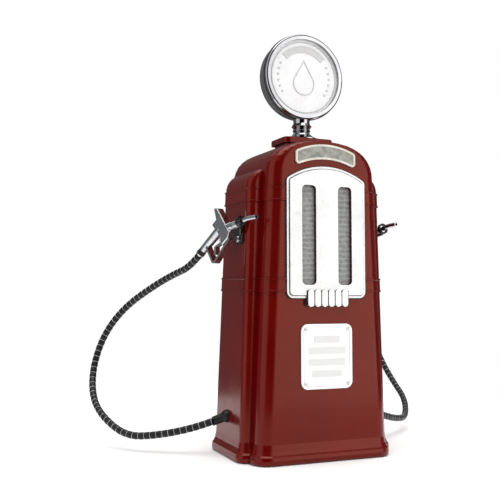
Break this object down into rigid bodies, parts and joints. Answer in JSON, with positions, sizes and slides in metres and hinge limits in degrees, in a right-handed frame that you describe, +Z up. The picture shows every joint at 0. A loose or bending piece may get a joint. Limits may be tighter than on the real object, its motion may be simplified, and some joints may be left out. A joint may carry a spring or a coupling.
{
  "type": "gas pump drink dispenser",
  "caption": "Tabletop drink dispenser shaped as a vintage twin gas pump: red cabinet, chrome globe, sight windows, hoses and hooked nozzles with working triggers.",
  "frame": {"origin": "on the floor under the centre of the cabinet", "axes": "+Z up, front faces -Y, +X to the viewer's right"},
  "size_m": [0.359, 0.1946, 0.4],
  "materials": {
    "red_body": "deep red gloss",
    "black_plastic": "satin black",
    "black_rubber": "matt black",
    "hose_rubber": "satin black with thin grey rings",
    "screw_steel": "bright zinc",
    "bright_trim": "bright satin silver",
    "grey_insert": "grey, faint grain",
    "sight_window": "frosted and finely ribbed",
    "chrome": "polished",
    "clear_tank": "milky clear",
    "pipe_plastic": "milky"
  },
  "bodies": {
    "cabinet": {"back_cover": "red_body", "back_cover_screws": "screw_steel", "badge_frame": "bright_trim", "badge_insert": "grey_insert", "base_feet": "black_rubber", "base_plate": "black_plastic", "base_screws": "screw_steel", "bezel_panel": "bright_trim", "body_shell": "red_body", "left_holder_screws": "screw_steel", "left_hose": "hose_rubber", "left_hose_gland": "black_rubber", "left_hose_sleeve": "black_rubber", "left_inner_tube": "pipe_plastic", "left_nozzle_holder": "black_plastic", "left_outlet_elbow": "pipe_plastic", "left_sight_window": "sight_window", "left_tank": "clear_tank", "right_holder_screws": "screw_steel", "right_hose": "hose_rubber", "right_hose_gland": "black_rubber", "right_hose_sleeve": "black_rubber", "right_inner_tube": "pipe_plastic", "right_nozzle_holder": "black_plastic", "right_outlet_elbow": "pipe_plastic", "right_sight_window": "sight_window", "right_tank": "clear_tank", "sign_plate": "bright_trim", "sign_plate_rivets": "screw_steel", "tank_tray": "black_plastic"},
    "left_nozzle": {"left_nozzle_body": "chrome", "left_nozzle_spout": "chrome", "left_nozzle_collar": "chrome", "left_nozzle_guard": "chrome", "left_nozzle_trigger_pin": "screw_steel", "left_nozzle_trigger_spring": "screw_steel", "left_nozzle_hose_grip": "black_plastic", "left_nozzle_hose_ring": "chrome"},
    "left_trigger": {"left_nozzle_trigger": "chrome"},
    "left_valve": {"left_nozzle_valve_stem": "screw_steel"},
    "right_nozzle": {"right_nozzle_body": "chrome", "right_nozzle_spout": "chrome", "right_nozzle_collar": "chrome", "right_nozzle_guard": "chrome", "right_nozzle_trigger_pin": "screw_steel", "right_nozzle_trigger_spring": "screw_steel", "right_nozzle_hose_grip": "black_plastic", "right_nozzle_hose_ring": "chrome"},
    "right_trigger": {"right_nozzle_trigger": "chrome"},
    "right_valve": {"right_nozzle_valve_stem": "screw_steel"},
    "lid_and_globe": {"filler_lid": "red_body", "lid_gasket": "black_rubber", "stem_bolt": "screw_steel", "globe_stem": "chrome", "globe_drum": "chrome", "globe_rim": "chrome", "globe_face": "bright_trim"}
  },
  "joints": [
    {"name": "lid_lift", "type": "slide", "parent": "cabinet", "child": "lid_and_globe", "axis": [0, 0, 1], "range_m": [0, 0.06]},
    {"name": "left_nozzle_unhook", "type": "slide", "parent": "cabinet", "child": "left_nozzle", "axis": [-0.3615, 0.9178, -0.1642], "range_m": [0, 0.03], "deforming": ["left_hose"]},
    {"name": "left_trigger_pull", "type": "hinge", "parent": "left_nozzle", "child": "left_trigger", "pos_m": [-0.08218, -0.01339, 0.1981], "axis": [0.9304, 0.3665, 0], "range_deg": [0, 12], "stiffness_Nm_per_rad": 0.01, "springref_deg": -8.59, "deforming": ["left_nozzle_trigger_spring"]},
    {"name": "left_valve_lift", "type": "slide", "parent": "left_nozzle", "child": "left_valve", "axis": [0, 0, 1], "range_m": [0, 0.0018]},
    {"name": "right_nozzle_unhook", "type": "slide", "parent": "cabinet", "child": "right_nozzle", "axis": [-0.1475, 0.9753, -0.1642], "range_m": [0, 0.03], "deforming": ["right_hose"]},
    {"name": "right_trigger_pull", "type": "hinge", "parent": "right_nozzle", "child": "right_trigger", "pos_m": [0.08173, 0.00629, 0.1981], "axis": [0.9888, 0.1495, 0], "range_deg": [0, 12], "stiffness_Nm_per_rad": 0.01, "springref_deg": -8.59, "deforming": ["right_nozzle_trigger_spring"]},
    {"name": "right_valve_lift", "type": "slide", "parent": "right_nozzle", "child": "right_valve", "axis": [0, 0, 1], "range_m": [0, 0.0018]}
  ],
  "couplings": [
    {"joint": "left_valve_lift", "follows": "left_trigger_pull", "m_per_rad": 0.0081},
    {"joint": "right_valve_lift", "follows": "right_trigger_pull", "m_per_rad": 0.0081}
  ]
}
